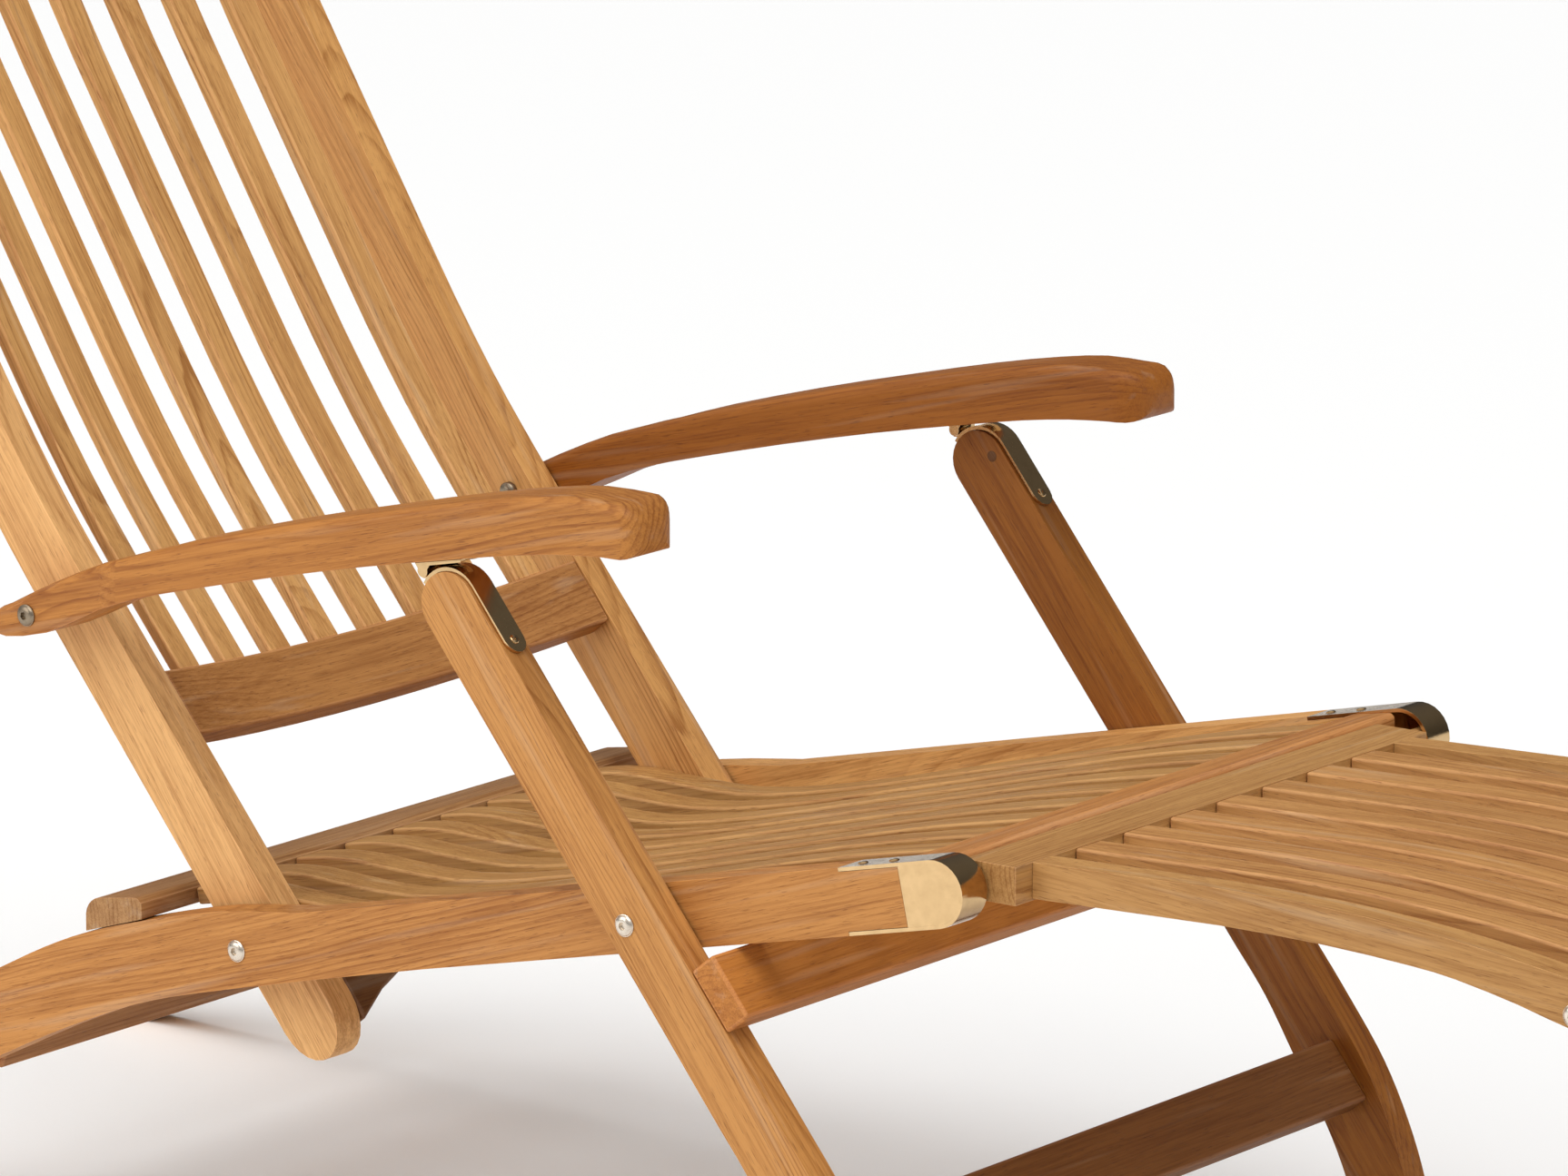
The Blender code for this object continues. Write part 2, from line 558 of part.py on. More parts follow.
def footrest(owner, wood):
    top = foot_top_line()
    under = spline([(FOOT_START + GAP, 122.5), (690.0, 125.0), (760.0, 127.5), (836.0, 127.5),
                    (900.0, 124.5), (935.0, 121.0), (980.0, 112.5), (1020.0, 103.0),
                    (1060.0, 99.0), (1098.0, 98.5)], 2)
    outline = top + under[::-1]
    for label, side in (("left", 1), ("right", -1)):
        rail = board("footrest_%s_rail" % label, outline, FOOT_SHIFT + side * FOOT_IN,
                     FOOT_SHIFT + side * FOOT_OUT, owner, wood)
        drill(rail, FOOT_LEG_PIVOT)
    section = ([(FOOT_START, 121.0), (FOOT_START, 146.0)] + arc((579.5, 141.0), 5.0, 90.0, 180.0, 3)
               + arc((582.5, 129.0), 8.0, 180.0, 270.0, 4))
    rear = board("footrest_rear_rail", section, FOOT_SHIFT - FOOT_CROSS, FOOT_SHIFT + FOOT_CROSS,
                 owner, wood)
    tenon = turned("footrest_tenons", [(-271.0, 7.5), (271.0, 7.5)], FOOT_PIVOT, 1, owner, wood)
    join(rear, tenon)
    cut = [p for p in top if p[0] <= FOOT_SLAT_END]
    slat = cut + offset(cut, -FOOT_SLAT_T)[::-1]
    end_top = [(FOOT_SLAT_END + GAP, cut[-1][1])] + [p for p in top if p[0] > FOOT_SLAT_END]
    end_under = [(x - 2.0 * (x > FOOT_SLAT_END + 5.0), z - 21.0) for x, z in end_top]
    board("footrest_end_rail", end_top + end_under[::-1], FOOT_SHIFT - FOOT_IN + GAP,
          FOOT_SHIFT + FOOT_IN - GAP, owner, wood)
    for i in range(FOOT_SLATS):
        middle = FOOT_SHIFT + (i - (FOOT_SLATS - 1) / 2) * FOOT_PITCH
        board("footrest_slat_%d" % (i + 1), slat, middle - FOOT_SLAT_W / 2,
              middle + FOOT_SLAT_W / 2, owner, wood)


def footrest_legs(owner, wood):
    px, pz = FOOT_LEG_PIVOT
    lean = math.radians(FOOT_LEG_LEAN)
    foot_x = px + (pz - GROUND) * math.tan(lean)
    outline = arc(FOOT_LEG_PIVOT, FOOT_LEG_HALF, 180.0 + FOOT_LEG_LEAN, FOOT_LEG_LEAN, 10)
    outline += [(foot_x + FOOT_LEG_HALF, GROUND), (foot_x - FOOT_LEG_HALF, GROUND)]
    for label, side in (("left", 1), ("right", -1)):
        leg = board("footrest_%s_leg" % label, outline, FOOT_SHIFT + side * FOOT_LEG_IN,
                    FOOT_SHIFT + side * FOOT_LEG_OUT, owner, wood)
        drill(leg, FOOT_LEG_PIVOT)
    drop = 235.0
    cx, cz = px + drop * math.tan(lean), pz - drop
    brace = [(cx - 8.0, cz - 17.0), (cx + 8.0, cz - 17.0), (cx + 8.0, cz + 17.0), (cx - 8.0, cz + 17.0)]
    board("footrest_leg_stretcher", brace, FOOT_SHIFT - FOOT_LEG_IN + GAP,
          FOOT_SHIFT + FOOT_LEG_IN - GAP, owner, wood)


# ---------------------------------------------------------------- build

def main():
    clear_scene()
    wood = material("teak", TEAK, 0.55, 0.0)
    wood_dark = material("teak_shaded", TEAK_DARK, 0.55, 0.0)
    brass = material("brass", BRASS, 0.28, 1.0)
    steel = material("steel", STEEL, 0.3, 1.0)
    seat = body("seat_frame", (0.0, 0.0))
    seat_frame(seat, wood, brass, steel)
    back = body("backrest", BACK_PIVOT, seat)
    backrest(back, wood, steel)
    legs = body("front_legs", LEG_PIVOT, seat)
    front_legs(legs, wood, wood_dark, brass)
    owners = {label: body(label + "_arm_body", ARM_PIVOT, back) for label in ("left", "right")}
    arms(owners, wood, brass)
    foot = body("footrest", FOOT_PIVOT, seat)
    footrest(foot, wood)
    shins = body("footrest_legs", FOOT_LEG_PIVOT, foot)
    footrest_legs(shins, wood)


main()
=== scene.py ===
import json
import math
import random

import bmesh
import bpy
import numpy as np
from mathutils import Matrix, Vector


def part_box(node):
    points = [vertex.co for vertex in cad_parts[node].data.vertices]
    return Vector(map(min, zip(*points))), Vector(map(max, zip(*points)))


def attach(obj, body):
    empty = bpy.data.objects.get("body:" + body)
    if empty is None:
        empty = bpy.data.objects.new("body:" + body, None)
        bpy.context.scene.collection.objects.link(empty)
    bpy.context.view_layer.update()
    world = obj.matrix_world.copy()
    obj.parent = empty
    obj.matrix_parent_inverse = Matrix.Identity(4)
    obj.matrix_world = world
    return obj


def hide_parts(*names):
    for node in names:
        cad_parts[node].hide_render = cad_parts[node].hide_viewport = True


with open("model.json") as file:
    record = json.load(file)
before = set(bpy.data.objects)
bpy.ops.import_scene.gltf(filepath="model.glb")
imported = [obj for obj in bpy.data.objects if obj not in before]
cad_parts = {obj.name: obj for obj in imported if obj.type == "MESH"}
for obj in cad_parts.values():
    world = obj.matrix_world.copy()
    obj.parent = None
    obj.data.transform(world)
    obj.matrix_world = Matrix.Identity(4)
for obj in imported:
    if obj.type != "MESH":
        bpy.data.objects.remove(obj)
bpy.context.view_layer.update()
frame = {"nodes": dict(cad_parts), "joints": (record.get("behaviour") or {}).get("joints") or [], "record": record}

NODES = frame["nodes"]
JOINTS = {joint["name"]: Vector(joint["pos_m"]) for joint in frame["joints"]}
MM, TO_MM = 0.001, 1000.0

# How far the sharp edges of each kind of piece are eased (mm), and in how many steps.
EASE_SLAT = 2.0
EASE_RAIL = 2.2
EASE_METAL = 0.35
WOOD_STEPS, METAL_STEPS = 3, 2

# Angles (degrees) between facets: still flat, still one curve, a real edge of a piece,
# still smooth once eased, still smooth on the small hardware.
FLAT_ANGLE, CURVE_ANGLE, EDGE_ANGLE = 0.4, 30.0, 32.0
EASED_ANGLE, HARDWARE_ANGLE = 38.0, 40.0
WELD_DISTANCE = 0.01 * MM

# Directions in the side view: along the seat rail, and down along the front leg.
RAIL_ALONG = (JOINTS["front_legs_fold"] - JOINTS["backrest_fold"]).normalized()
RAIL_UP = Vector((-RAIL_ALONG.z, 0.0, RAIL_ALONG.x))
ARM_AXIS = Vector((JOINTS["left_arm_fold"].x, 0.0, JOINTS["left_arm_fold"].z))
LEG_ALONG = (JOINTS["backrest_fold"] - ARM_AXIS).normalized()
LEG_FORWARD = Vector((-LEG_ALONG.z, 0.0, LEG_ALONG.x))

# Middles of the layers across the chair, and faces that fasteners sit on (mm).
RAIL_Y, LEG_Y = 262.0, 288.5
LEG_INNER_Y = 277.0
LEG_REAR, STRAP_FACE = 304.7, 351.5
RAIL_HALF = 22.0
FOOT_LEG_INNER_Y, FOOT_RAIL_OUTER_Y = 169.5, 214.0
FOOT_SHIFT = -15.0

# Where the small hardware sits (mm): down the front leg, or along the seat rail.
STRAP_SCREW_AT = -38.5
TONGUE_SCREWS_AT = (528.0, 553.0)
WEAR_PLATE_ENDS, WEAR_PLATE_HALF = (88.0, 136.0), 7.5
WEAR_PLATE_THICK, WEAR_PLATE_SOFT = 2.6, 0.6
WEAR_SCREWS_AT = (99.0, 125.0)
PLUG_AT, PLUG_FORWARD = -78.0, 339.0
NUT_PROUD, HEAD_PROUD = 6.0, 3.0

# Teak: linear colour of the early wood; late wood is the same colour times LATE.
LATE = (0.58, 0.46, 0.34)
TEAK = (0.560, 0.285, 0.105)
# Teak tone of each piece, set to its look under the studio light: partly the wood's own tone, partly painted
# shade. The left arm, left front leg and back stop rail are darkened as painted shade.
PIECE_TONES_WITH_SHADE = {
    "right_stile": (0.765, 0.425, 0.162), "left_stile": (0.660, 0.335, 0.105),
    "right_side_rail": (0.510, 0.222, 0.056), "left_side_rail": (0.720, 0.370, 0.118),
    "right_front_leg": (0.560, 0.258, 0.070), "left_front_leg": (0.315, 0.112, 0.015),
    "right_arm": (0.470, 0.186, 0.036), "left_arm": (0.340, 0.110, 0.011),
    "upper_stretcher": (0.500, 0.190, 0.036), "lower_stretcher": (0.240, 0.092, 0.022),
    "back_bottom_rail": (0.460, 0.206, 0.058), "back_top_rail": (0.530, 0.250, 0.078),
    "back_stop_rail": (0.150, 0.062, 0.018), "rear_leg_stretcher": (0.400, 0.178, 0.058),
    "seat_front_rail": (0.500, 0.215, 0.056), "seat_rear_rail": (0.400, 0.210, 0.080),
    "back_slat": (0.650, 0.343, 0.114), "seat_slat": (0.480, 0.252, 0.078),
    "footrest_slat": (0.505, 0.248, 0.078), "footrest": (0.500, 0.258, 0.082),
}
PLUG_TONE = (0.160, 0.070, 0.024)

# Metals: bright and tarnished colour, lowest and highest roughness, how far it is tarnished.
BRASS = ((0.66, 0.45, 0.23), (0.36, 0.22, 0.09), 0.09, 0.20, 0.25)
STEEL = ((0.74, 0.66, 0.56), (0.34, 0.26, 0.19), 0.16, 0.34, 0.40)
DARK_STEEL = ((0.30, 0.24, 0.17), (0.14, 0.10, 0.07), 0.22, 0.42, 0.50)

# The studio (m, W, degrees): floor, a broad sun from above, a soft box on the sitter's right.
FLOOR_HALF = 40.0
FLOOR_COLOUR = (0.93, 0.93, 0.925, 1.0)
SUN_STRENGTH, SUN_FROM, SUN_SPREAD = 1.35, Vector((0.30, -0.22, 0.92)), 50.0
BOX_POWER, BOX_FROM, BOX_SIZE = 17.0, Vector((-1.15, -1.90, 1.0)), 1.5
BOX_AIM = Vector((-0.05, -0.20, 0.40))
BOX_COLOUR = (1.0, 0.985, 0.96)

# The photograph's view: the camera's azimuth and elevation, seen from the backrest axis.
AIM = Vector((-0.25, 0.0, 0.25))
AZIMUTH, ELEVATION = math.radians(37.42), math.radians(12.42)
DISTANCE, RIGHTWARD, UPWARD = 6.395, 0.1965, 0.1943
SENSOR = 36.0
PHOTO_WIDTH, FOCAL_PIXELS = 1726.0, 10242.0
LENS = SENSOR * FOCAL_PIXELS / PHOTO_WIDTH


# ---------------------------------------------------------------- node helpers

def add(tree, kind, inputs=None, **settings):
    """New node with its settings, and its inputs set or linked by name or number."""
    node = tree.nodes.new(kind)
    for key, value in settings.items():
        setattr(node, key, value)
    for key, value in (inputs or {}).items():
        socket = node.inputs[key]
        if isinstance(value, bpy.types.NodeSocket):
            tree.links.new(value, socket)
        else:
            socket.default_value = value
    return node


def math_node(tree, operation, a, b=0.0, clamp=False):
    return add(tree, "ShaderNodeMath", {0: a, 1: b}, operation=operation,
               use_clamp=clamp).outputs[0]


def remap(tree, value, low, high, to_low=0.0, to_high=1.0):
    """Value from low..high to to_low..to_high, held inside it."""
    return add(tree, "ShaderNodeMapRange",
               {"Value": value, "From Min": low, "From Max": high,
                "To Min": to_low, "To Max": to_high}).outputs["Result"]


def mix_colour(tree, factor, a, b, blend='MIX'):
    """Two colours mixed by a factor; a colour mix has its inputs at 0, 6 and 7."""
    return add(tree, "ShaderNodeMix", {0: factor, 6: a, 7: b}, data_type='RGBA',
               blend_type=blend).outputs[2]


def noise(tree, vector, stretch, detail=3.0, rough=0.5):
    """Noise over a vector in millimetres; stretch is cycles per mm along each direction."""
    scaled = add(tree, "ShaderNodeVectorMath", {0: vector, 1: stretch}, operation='MULTIPLY')
    return add(tree, "ShaderNodeTexNoise",
               {"Vector": scaled.outputs[0], "Scale": 1.0, "Detail": detail,
                "Roughness": rough}).outputs["Fac"]


def teak_group():
    """Solid teak: growth rings round a pith beside the board, fibres, pores and broad drift."""
    tree = bpy.data.node_groups.new("teak_grain", 'ShaderNodeTree')
    face = tree.interface
    face.new_socket("Vector", in_out='INPUT', socket_type='NodeSocketVector')
    for name in ("Light", "Dark"):
        face.new_socket(name, in_out='INPUT', socket_type='NodeSocketColor')
    for name in ("Pith Y", "Pith Z", "Ring", "Contrast"):
        face.new_socket(name, in_out='INPUT', socket_type='NodeSocketFloat')
    face.new_socket("Color", in_out='OUTPUT', socket_type='NodeSocketColor')
    for name in ("Roughness", "Height"):
        face.new_socket(name, in_out='OUTPUT', socket_type='NodeSocketFloat')
    given = tree.nodes.new("NodeGroupInput")
    out = tree.nodes.new("NodeGroupOutput")
    vec = given.outputs["Vector"]

    # Distance from the pith, bent by slow noise, and how far through its ring it is.
    parts = add(tree, "ShaderNodeSeparateXYZ", {0: vec})
    wander = noise(tree, vec, (0.0035, 0.014, 0.014), 2.0, 0.4)
    wave = noise(tree, vec, (0.010, 0.05, 0.05), 2.0, 0.5)
    across = math_node(tree, 'SUBTRACT', parts.outputs[1], given.outputs["Pith Y"])
    upward = math_node(tree, 'SUBTRACT', parts.outputs[2], given.outputs["Pith Z"])
    radius = math_node(tree, 'SQRT', math_node(tree, 'ADD', math_node(tree, 'POWER', across, 2.0),
                                               math_node(tree, 'POWER', upward, 2.0)))
    radius = math_node(tree, 'ADD', radius, remap(tree, wander, 0.2, 0.8, -8.0, 8.0))
    radius = math_node(tree, 'ADD', radius, remap(tree, wave, 0.2, 0.8, -1.1, 1.1))
    turns = math_node(tree, 'DIVIDE', radius, given.outputs["Ring"])
    phase = math_node(tree, 'FRACT', turns)

    # Late wood darkens towards the end of each ring, more in some rings and zones.
    rise = remap(tree, phase, 0.50, 0.92)
    fall = remap(tree, phase, 0.92, 1.0, 1.0, 0.0)
    late = math_node(tree, 'MULTIPLY', rise, fall)
    ring_age = add(tree, "ShaderNodeTexNoise", {"W": math_node(tree, 'MULTIPLY', turns, 0.37),
                                                 "Scale": 1.0, "Detail": 1.0},
                   noise_dimensions='1D').outputs["Fac"]
    late = math_node(tree, 'MULTIPLY', late, remap(tree, ring_age, 0.3, 0.7, 0.2, 1.0))
    zone = noise(tree, vec, (0.0025, 0.022, 0.022), 1.0, 0.4)
    late = math_node(tree, 'MULTIPLY', late, remap(tree, zone, 0.40, 0.62, 0.3, 1.15))

    # Fibres, streaks, pores and broad drift, all drawn out along the grain.
    fibre = noise(tree, vec, (0.016, 0.75, 0.75), 4.0, 0.62)
    streak = noise(tree, vec, (0.005, 0.17, 0.17), 3.0, 0.55)
    pores = remap(tree, noise(tree, vec, (0.09, 1.5, 1.5), 1.0, 0.4), 0.64, 0.74)
    broad = noise(tree, vec, (0.0028, 0.02, 0.02), 2.0, 0.5)
    pale = remap(tree, noise(tree, vec, (0.004, 0.09, 0.09), 2.0, 0.5), 0.58, 0.72)

    amount = math_node(tree, 'MULTIPLY', late, given.outputs["Contrast"])
    amount = math_node(tree, 'ADD', amount, remap(tree, fibre, 0.3, 0.7, -0.26, 0.42))
    amount = math_node(tree, 'ADD', amount, remap(tree, streak, 0.3, 0.7, -0.20, 0.40))
    amount = math_node(tree, 'ADD', amount, remap(tree, broad, 0.3, 0.7, -0.12, 0.24), clamp=True)
    wood = mix_colour(tree, amount, given.outputs["Light"], given.outputs["Dark"])
    deep = mix_colour(tree, 1.0, wood, (0.50, 0.40, 0.33, 1.0), 'MULTIPLY')
    wood = mix_colour(tree, math_node(tree, 'MULTIPLY', pores, 0.65), wood, deep)
    cream = mix_colour(tree, 1.0, wood, (0.30, 0.30, 0.24, 1.0), 'SCREEN')
    wood = mix_colour(tree, math_node(tree, 'MULTIPLY', pale, 0.22), wood, cream)

    rough = remap(tree, fibre, 0.25, 0.75, 0.46, 0.62)
    height = math_node(tree, 'SUBTRACT', math_node(tree, 'MULTIPLY', fibre, 0.55),
                       math_node(tree, 'MULTIPLY', pores, 0.8))
    height = math_node(tree, 'SUBTRACT', height, math_node(tree, 'MULTIPLY', late, 0.2))
    for name, value in (("Color", wood), ("Roughness", rough), ("Height", height)):
        tree.links.new(value, out.inputs[name])
    return tree


def shader_of(mat):
    mat.use_nodes = True
    return mat.node_tree, mat.node_tree.nodes["Principled BSDF"]


def grain_turn(obj):
    """Rotation that lays a board's own length along X, its width along Y."""
    co = np.array([v.co for v in obj.data.vertices], float)
    co -= co.mean(0)
    axes = np.linalg.svd(co, full_matrices=False)[2]
    if np.linalg.det(axes) < 0:
        axes[2] *= -1.0
    return Matrix(axes.tolist())


def teak(obj, group, tone, rng, edge=False):
    """One board's own teak: its grain runs along it and its rings come from its own place."""
    mat = bpy.data.materials.new(("teak_edge_" if edge else "teak_") + obj.name)
    tree, shader = shader_of(mat)
    coords = add(tree, "ShaderNodeTexCoord")
    tilt = Matrix.Rotation(math.radians(rng.uniform(-1.6, 1.6)), 3, 'Y')
    turn = (tilt @ grain_turn(obj)).to_euler()
    drift = Vector([rng.uniform(-4000.0, 4000.0) for _ in range(3)])
    turned = add(tree, "ShaderNodeMapping",
                 {"Vector": coords.outputs["Object"], "Rotation": turn,
                  "Scale": (TO_MM,) * 3, "Location": drift})
    middle = Vector(np.mean([v.co for v in obj.data.vertices], axis=0)) * TO_MM
    middle.rotate(turn)
    middle += drift
    away, angle = rng.uniform(45.0, 120.0), rng.uniform(0.0, 2.0 * math.pi)
    shift = rng.uniform(0.95, 1.05)
    light = [min(1.0, c * shift) for c in tone]
    dark = [c * late for c, late in zip(light, LATE)]
    # Edge copy: paler teak for the eased edges, partly sanded wear and partly a painted highlight along the
    # rounded edges.
    if edge:
        light = [min(1.0, c * 1.12 + 0.02) for c in light]
        dark = [min(1.0, c * 1.25 + 0.02) for c in dark]
    grain = tree.nodes.new("ShaderNodeGroup")
    grain.node_tree = group
    tree.links.new(turned.outputs[0], grain.inputs["Vector"])
    settings = {"Light": (*light, 1.0), "Dark": (*dark, 1.0),
                "Pith Y": middle.y + away * math.cos(angle),
                "Pith Z": middle.z + away * math.sin(angle),
                "Ring": rng.uniform(3.0, 5.2), "Contrast": rng.uniform(0.55, 0.95)}
    for key, value in settings.items():
        grain.inputs[key].default_value = value
    tree.links.new(grain.outputs["Color"], shader.inputs["Base Color"])
    tree.links.new(grain.outputs["Roughness"], shader.inputs["Roughness"])
    bump = add(tree, "ShaderNodeBump", {"Height": grain.outputs["Height"], "Strength": 0.5,
                                        "Distance": 0.0004})
    tree.links.new(bump.outputs[0], shader.inputs["Normal"])
    shader.inputs["Specular IOR Level"].default_value = 0.3
    return mat


def metal(name, bright, tarnish, rough_low, rough_high, worn):
    """Metal with faint clouded tarnish, fine handling scratches and uneven polish."""
    mat = bpy.data.materials.new(name)
    tree, shader = shader_of(mat)
    coords = add(tree, "ShaderNodeTexCoord")
    vec = add(tree, "ShaderNodeVectorMath", {0: coords.outputs["Object"], 1: (TO_MM,) * 3},
              operation='MULTIPLY').outputs[0]
    cloud = noise(tree, vec, (0.11, 0.11, 0.11), 4.0, 0.6)
    brushed = noise(tree, vec, (0.25, 3.2, 3.2), 2.0, 0.5)
    spots = remap(tree, noise(tree, vec, (0.5, 0.5, 0.5), 3.0, 0.7), 0.58, 0.75)
    stain = math_node(tree, 'MULTIPLY', remap(tree, cloud, 0.35, 0.7), worn)
    stain = math_node(tree, 'ADD', stain, math_node(tree, 'MULTIPLY', spots, worn * 0.6),
                      clamp=True)
    colour = mix_colour(tree, stain, (*bright, 1.0), (*tarnish, 1.0))
    tree.links.new(colour, shader.inputs["Base Color"])
    shader.inputs["Metallic"].default_value = 1.0
    rough = remap(tree, math_node(tree, 'ADD', cloud, math_node(tree, 'MULTIPLY', brushed, 0.5)),
                  0.4, 1.1, rough_low, rough_high)
    tree.links.new(rough, shader.inputs["Roughness"])
    bump = add(tree, "ShaderNodeBump", {"Height": brushed, "Strength": 0.12, "Distance": 0.0002})
    tree.links.new(bump.outputs[0], shader.inputs["Normal"])
    return mat


# ---------------------------------------------------------------- surface modifiers

def smooth_group(name, angle, weld):
    """Geometry nodes: weld the CAD facets if asked, then shade smooth up to an angle."""
    tree = bpy.data.node_groups.new(name, 'GeometryNodeTree')
    for way in ('INPUT', 'OUTPUT'):
        tree.interface.new_socket("Geometry", in_out=way, socket_type='NodeSocketGeometry')
    given = add(tree, "NodeGroupInput")
    last = add(tree, "GeometryNodeRemoveAttribute",
               {0: given.outputs[0], "Name": "custom_normal"}).outputs[0]
    if weld:
        last = add(tree, "GeometryNodeMergeByDistance",
                   {"Geometry": last, "Distance": WELD_DISTANCE}).outputs[0]
    turn = add(tree, "GeometryNodeInputMeshEdgeAngle").outputs["Unsigned Angle"]
    gentle = add(tree, "FunctionNodeCompare", {0: turn, 1: math.radians(angle)},
                 data_type='FLOAT', operation='LESS_THAN').outputs[0]
    faces = add(tree, "GeometryNodeSetShadeSmooth", {0: last, "Shade Smooth": True},
                domain='FACE').outputs[0]
    edges = add(tree, "GeometryNodeSetShadeSmooth", {0: faces, "Shade Smooth": gentle},
                domain='EDGE').outputs[0]
    add(tree, "NodeGroupOutput", {0: edges})
    return tree


def ease_edges(obj, width, steps, weld, settle, edge_slot):
    """Real edges of a CAD piece rounded over, the way a sanded or cast piece is."""
    first = obj.modifiers.new("weld", 'NODES')
    first.node_group = weld
    flat = obj.modifiers.new("flat", 'DECIMATE')
    flat.decimate_type = 'DISSOLVE'
    flat.angle_limit = math.radians(FLAT_ANGLE)
    bevel = obj.modifiers.new("ease", 'BEVEL')
    bevel.width = width * MM
    bevel.segments = steps
    bevel.limit_method = 'ANGLE'
    bevel.angle_limit = math.radians(EDGE_ANGLE)
    bevel.miter_outer = 'MITER_ARC'
    bevel.material = edge_slot
    last = obj.modifiers.new("settle", 'NODES')
    last.node_group = settle
    even = obj.modifiers.new("even", 'WEIGHTED_NORMAL')
    even.keep_sharp = True
    even.weight = 60


# ---------------------------------------------------------------- fasteners

def around(axis):
    """Two directions square to an axis."""
    side = axis.orthogonal().normalized()
    return side, axis.cross(side)


def hexagon(angle, size):
    """Distance to the side of a hexagon of that half width, at an angle."""
    return size / math.cos((angle + math.pi / 6) % (math.pi / 3) - math.pi / 6)


def cross(angle, size):
    """Outline of a cross-shaped driver recess at an angle."""
    near = abs((angle + math.pi / 4) % (math.pi / 2) - math.pi / 4)
    return size if near < 0.28 else size * 0.42


def lofted(name, rings, mat, body):
    """Closed piece through rings of points, riding on its body with its material slot."""
    bm = bmesh.new()
    loops = [[bm.verts.new(point) for point in ring] for ring in rings]
    count = len(loops[0])
    for low, high in zip(loops, loops[1:]):
        for k in range(count):
            j = (k + 1) % count
            bm.faces.new((low[k], low[j], high[j], high[k]))
    bm.faces.new(loops[0][::-1])
    bm.faces.new(loops[-1])
    bmesh.ops.recalc_face_normals(bm, faces=bm.faces)
    mesh = bpy.data.meshes.new(name)
    bm.to_mesh(mesh)
    bm.free()
    mesh.materials.append(mat)
    mesh.shade_smooth()
    mesh.set_sharp_from_angle(angle=math.radians(HARDWARE_ANGLE))
    piece = bpy.data.objects.new(name, mesh)
    bpy.context.scene.collection.objects.link(piece)
    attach(piece, body)
    return piece


def turned_piece(name, base, axis, profile, recess, depth, mat, body, count=36):
    """Lathe-turned fastener: profile is (height, radius) in mm, recess its driver hole or None."""
    side, other = around(axis)
    levels = [(height, radius, None) for height, radius in profile]
    if recess:
        shape, size = recess
        top = profile[-1][0]
        levels += [(top, size, shape), (top - depth, size * 0.9, shape)]
    rings = []
    for height, radius, outline in levels:
        ring = []
        for k in range(count):
            a = 2.0 * math.pi * (k + 0.5) / count
            r = outline(a, radius) if outline else radius
            out = (side * math.cos(a) + other * math.sin(a)) * r * MM
            ring.append(base + axis * height * MM + out)
        rings.append(ring)
    return lofted(name, rings, mat, body)


NUT = [(0.0, 2.5), (0.5, 4.6), (1.6, 6.0), (2.2, 6.5), (5.7, 6.5), (5.7, 3.9)]
PAN_HEAD = [(0.0, 7.4), (0.8, 7.4), (1.0, 6.9), (1.8, 6.5), (2.4, 5.7), (2.8, 4.6), (3.0, 3.9)]
SCREW_HEAD = [(-1.0, 1.5), (0.0, 3.4), (0.25, 3.4), (0.6, 3.0), (0.85, 2.3), (0.95, 2.0)]
PLUG = [(-1.0, 3.9), (0.1, 3.9), (0.3, 3.6), (0.35, 2.0)]


def bolt(name, x, z, side, inner, outer, mat, body):
    """Machine bolt across the chair: cap nut inside, domed head with a hex socket outside."""
    length = outer - inner
    head = [(length - 3.0, 3.9)] + [(length - 3.0 + h, r) for h, r in PAN_HEAD]
    return turned_piece(name, Vector((x, side * inner * MM, z)), Vector((0.0, side, 0.0)),
                        NUT + head, (hexagon, 2.5), 2.0, mat, body)


def bolt_for(node, body, mat):
    """Bolt in place of a plain CAD bolt."""
    low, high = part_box(node)
    side = 1.0 if (low.y + high.y) > 0.0 else -1.0
    ends = sorted((abs(low.y) / MM, abs(high.y) / MM))
    piece = bolt(node + "_turned", (low.x + high.x) / 2, (low.z + high.z) / 2, side,
                 ends[0], ends[1], mat, body)
    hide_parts(node)


def leg_place(t, n, y):
    """Point t down the front leg and n forward of the backrest axis, in mm."""
    place = JOINTS["backrest_fold"] + (LEG_ALONG * t + LEG_FORWARD * n) * MM
    place.y = y * MM
    return place


def rail_place(s, up, y):
    """Point s along the seat rail from the backrest axis and up above its centre line, in mm."""
    place = JOINTS["backrest_fold"] + (RAIL_ALONG * s + RAIL_UP * up) * MM
    place.y = y * MM
    return place


def screw(name, place, axis, mat, body):
    return turned_piece(name, place, axis, SCREW_HEAD, (cross, 1.5), 0.6, mat, body, 28)


def wear_plate(label, side, mat):
    """Brass plate let on to the back edge of a front leg, round at both ends."""
    half = WEAR_PLATE_HALF
    start, end = WEAR_PLATE_ENDS
    middle, reach = (start + end) / 2, (end - start) / 2
    outline = []
    for centre, way in ((start + half, -1.0), (end - half, 1.0)):
        for k in range(13):
            a = math.pi * k / 12
            outline.append((centre + way * half * math.sin(a), -way * half * math.cos(a)))
    rings = []
    for depth, shrink in ((0.0, 0.0), (WEAR_PLATE_THICK - WEAR_PLATE_SOFT, 0.0),
                          (WEAR_PLATE_THICK, WEAR_PLATE_SOFT)):
        rings.append([leg_place(middle + (t - middle) * (1.0 - shrink / reach),
                                LEG_REAR - depth, side * LEG_Y + y * (1.0 - shrink / half))
                      for t, y in outline])
    lofted(label + "_wear_plate", rings, mat, "front_legs")


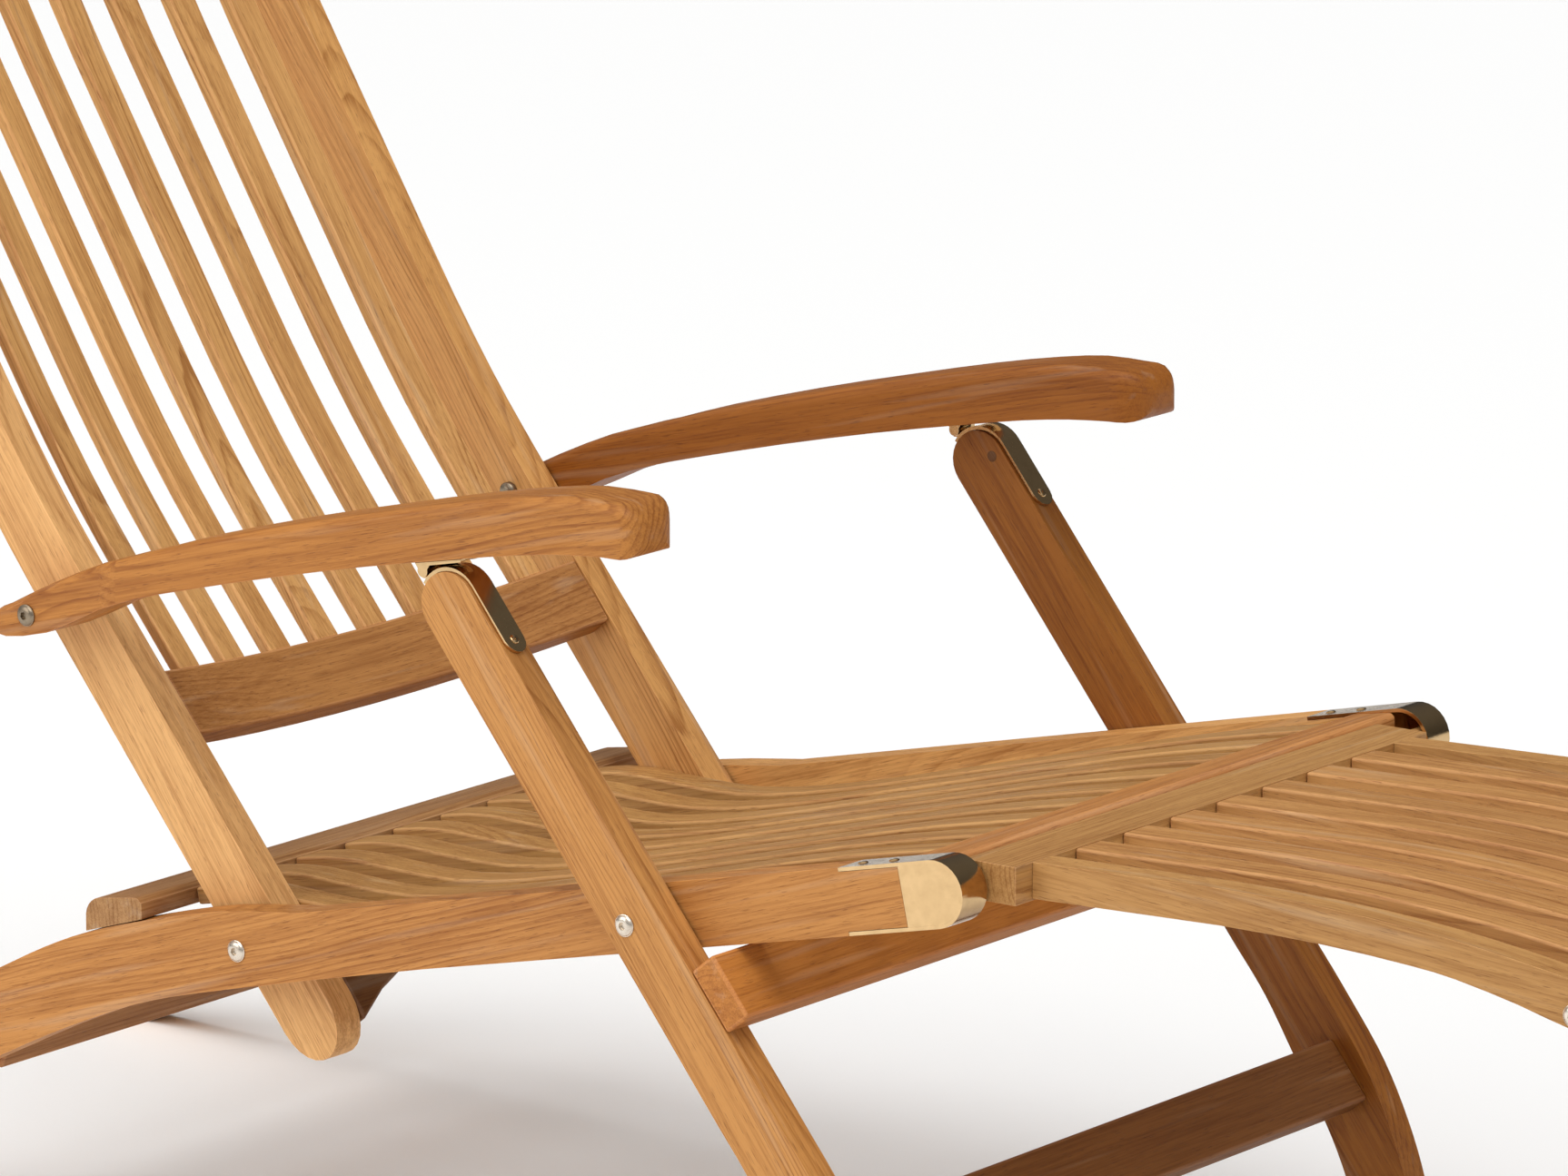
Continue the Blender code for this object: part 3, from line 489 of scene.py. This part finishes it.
def fasteners(brass, steel, plug_mat):
    """Small hardware on both sides of the chair."""
    foot_leg = JOINTS["footrest_legs_fold"]
    for label, side in (("left", 1), ("right", -1)):
        screw(label + "_strap_screw", leg_place(STRAP_SCREW_AT, STRAP_FACE, side * LEG_Y),
              LEG_FORWARD, brass, "front_legs")
        for k, s in enumerate(TONGUE_SCREWS_AT):
            for row, up in (("tongue", 1.0), ("under", -1.0)):
                screw("%s_%s_screw_%d" % (label, row, k + 1),
                      rail_place(s, up * RAIL_HALF, side * RAIL_Y), RAIL_UP * up, brass,
                      "seat_frame")
        wear_plate(label, side, brass)
        for k, t in enumerate(WEAR_SCREWS_AT):
            screw("%s_wear_screw_%d" % (label, k + 1),
                  leg_place(t, LEG_REAR - WEAR_PLATE_THICK, side * LEG_Y), -LEG_FORWARD, brass,
                  "front_legs")
        turned_piece(label + "_leg_plug", leg_place(PLUG_AT, PLUG_FORWARD, side * LEG_INNER_Y),
                     Vector((0.0, -side, 0.0)), PLUG, None, 0.0, plug_mat, "front_legs", 24)
        bolt(label + "_foot_leg_bolt", foot_leg.x, foot_leg.z, side,
             FOOT_LEG_INNER_Y - NUT_PROUD + side * FOOT_SHIFT,
             FOOT_RAIL_OUTER_Y + HEAD_PROUD + side * FOOT_SHIFT, steel, "footrest")


# ---------------------------------------------------------------- floor, light, camera

def lamp(name, kind, energy, source):
    """Light shining from a direction towards the chair."""
    light = bpy.data.lights.new(name, kind)
    light.energy = energy
    holder = bpy.data.objects.new(name, light)
    bpy.context.scene.collection.objects.link(holder)
    holder.rotation_euler = source.to_track_quat('Z', 'Y').to_euler()
    return holder, light


def studio():
    """Pale floor, soft light from above and the sitter's right, fill that is weaker on the left."""
    corners = [(x * FLOOR_HALF, y * FLOOR_HALF, 0.0)
               for x, y in ((-1, -1), (1, -1), (1, 1), (-1, 1))]
    floor_mesh = bpy.data.meshes.new("floor")
    floor_mesh.from_pydata(corners, [], [(0, 1, 2, 3)])
    floor = bpy.data.objects.new("floor", floor_mesh)
    bpy.context.scene.collection.objects.link(floor)
    mat = bpy.data.materials.new("pale_floor")
    shader = shader_of(mat)[1]
    shader.inputs["Base Color"].default_value = FLOOR_COLOUR
    shader.inputs["Roughness"].default_value = 0.8
    shader.inputs["Specular IOR Level"].default_value = 0.1
    floor_mesh.materials.append(mat)

    sun = lamp("soft_top", 'SUN', SUN_STRENGTH, SUN_FROM)[1]
    sun.angle = math.radians(SUN_SPREAD)
    holder, box = lamp("soft_side", 'AREA', BOX_POWER, BOX_FROM)
    holder.location = BOX_FROM + BOX_AIM
    box.size = BOX_SIZE
    box.color = BOX_COLOUR

    world = bpy.data.worlds.new("studio_fill")
    bpy.context.scene.world = world
    world.use_nodes = True
    tree = world.node_tree
    back = tree.nodes["Background"]
    coords = add(tree, "ShaderNodeTexCoord")
    parts = add(tree, "ShaderNodeSeparateXYZ", {0: coords.outputs["Generated"]})
    overhead = remap(tree, parts.outputs[2], 0.05, 0.80, 0.32, 1.0)
    behind = remap(tree, parts.outputs[1], 0.1, 0.75, 1.0, 0.15)
    tree.links.new(math_node(tree, 'MULTIPLY', overhead, behind), back.inputs["Strength"])
    back.inputs["Color"].default_value = (1.0, 1.0, 1.0, 1.0)


def camera():
    """Camera on the photograph's line of sight, moved sideways and up to frame it as it is."""
    ca, sa = math.cos(AZIMUTH), math.sin(AZIMUTH)
    ce, se = math.cos(ELEVATION), math.sin(ELEVATION)
    forward = Vector((-sa * ce, ca * ce, -se))
    right = Vector((ca, sa, 0.0))
    up = Vector((-sa * se, ca * se, ce))
    data = bpy.data.cameras.new("camera")
    data.lens = LENS
    data.sensor_width = SENSOR
    data.clip_end = 200.0
    view = bpy.data.objects.new("camera", data)
    bpy.context.scene.collection.objects.link(view)
    view.location = AIM - forward * DISTANCE + right * RIGHTWARD + up * UPWARD
    view.rotation_euler = Matrix((right, up, -forward)).transposed().to_euler()
    bpy.context.scene.camera = view


# ---------------------------------------------------------------- dress the chair

def body_name(node):
    """The moving body that a CAD node belongs to."""
    bodies = frame["record"]["behaviour"]["bodies"]
    return next(body for body, members in bodies.items() if node in members)


def tone_of(name):
    """A piece's tone, with painted shade in it for some pieces, or that of the longest family name it starts with.
    """
    family = max((key for key in PIECE_TONES_WITH_SHADE if name.startswith(key)), key=len, default=None)
    return PIECE_TONES_WITH_SHADE[family] if family else TEAK


def dress():
    """Teak or metal and eased edges on every CAD node, then the small hardware."""
    rng = random.Random(11)
    group = teak_group()
    weld = smooth_group("weld_and_shade", CURVE_ANGLE, True)
    settle = smooth_group("shade", EASED_ANGLE, False)
    brass = metal("brass", *BRASS)
    steel = metal("steel", *STEEL)
    dark_steel = metal("dark_steel", *DARK_STEEL)
    for name in sorted(NODES):
        obj = NODES[name]
        if "bolt" in name:
            bolt_for(name, body_name(name), dark_steel if "arm_bolt" in name else steel)
            continue
        obj.data.materials.clear()
        if any(word in name for word in ("strap", "socket", "hinge")):
            obj.data.materials.append(brass)
            ease_edges(obj, EASE_METAL, METAL_STEPS, weld, settle, 0)
            continue
        tone = tone_of(name)
        state = rng.getstate()
        obj.data.materials.append(teak(obj, group, tone, rng))
        rng.setstate(state)
        obj.data.materials.append(teak(obj, group, tone, rng, edge=True))
        ease_edges(obj, EASE_SLAT if "slat" in name else EASE_RAIL, WOOD_STEPS, weld, settle, 1)
    plug = teak(NODES["left_front_leg"], group, PLUG_TONE, rng)
    fasteners(brass, steel, plug)


dress()
studio()
camera()
bpy.context.scene.view_settings.view_transform = 'Standard'
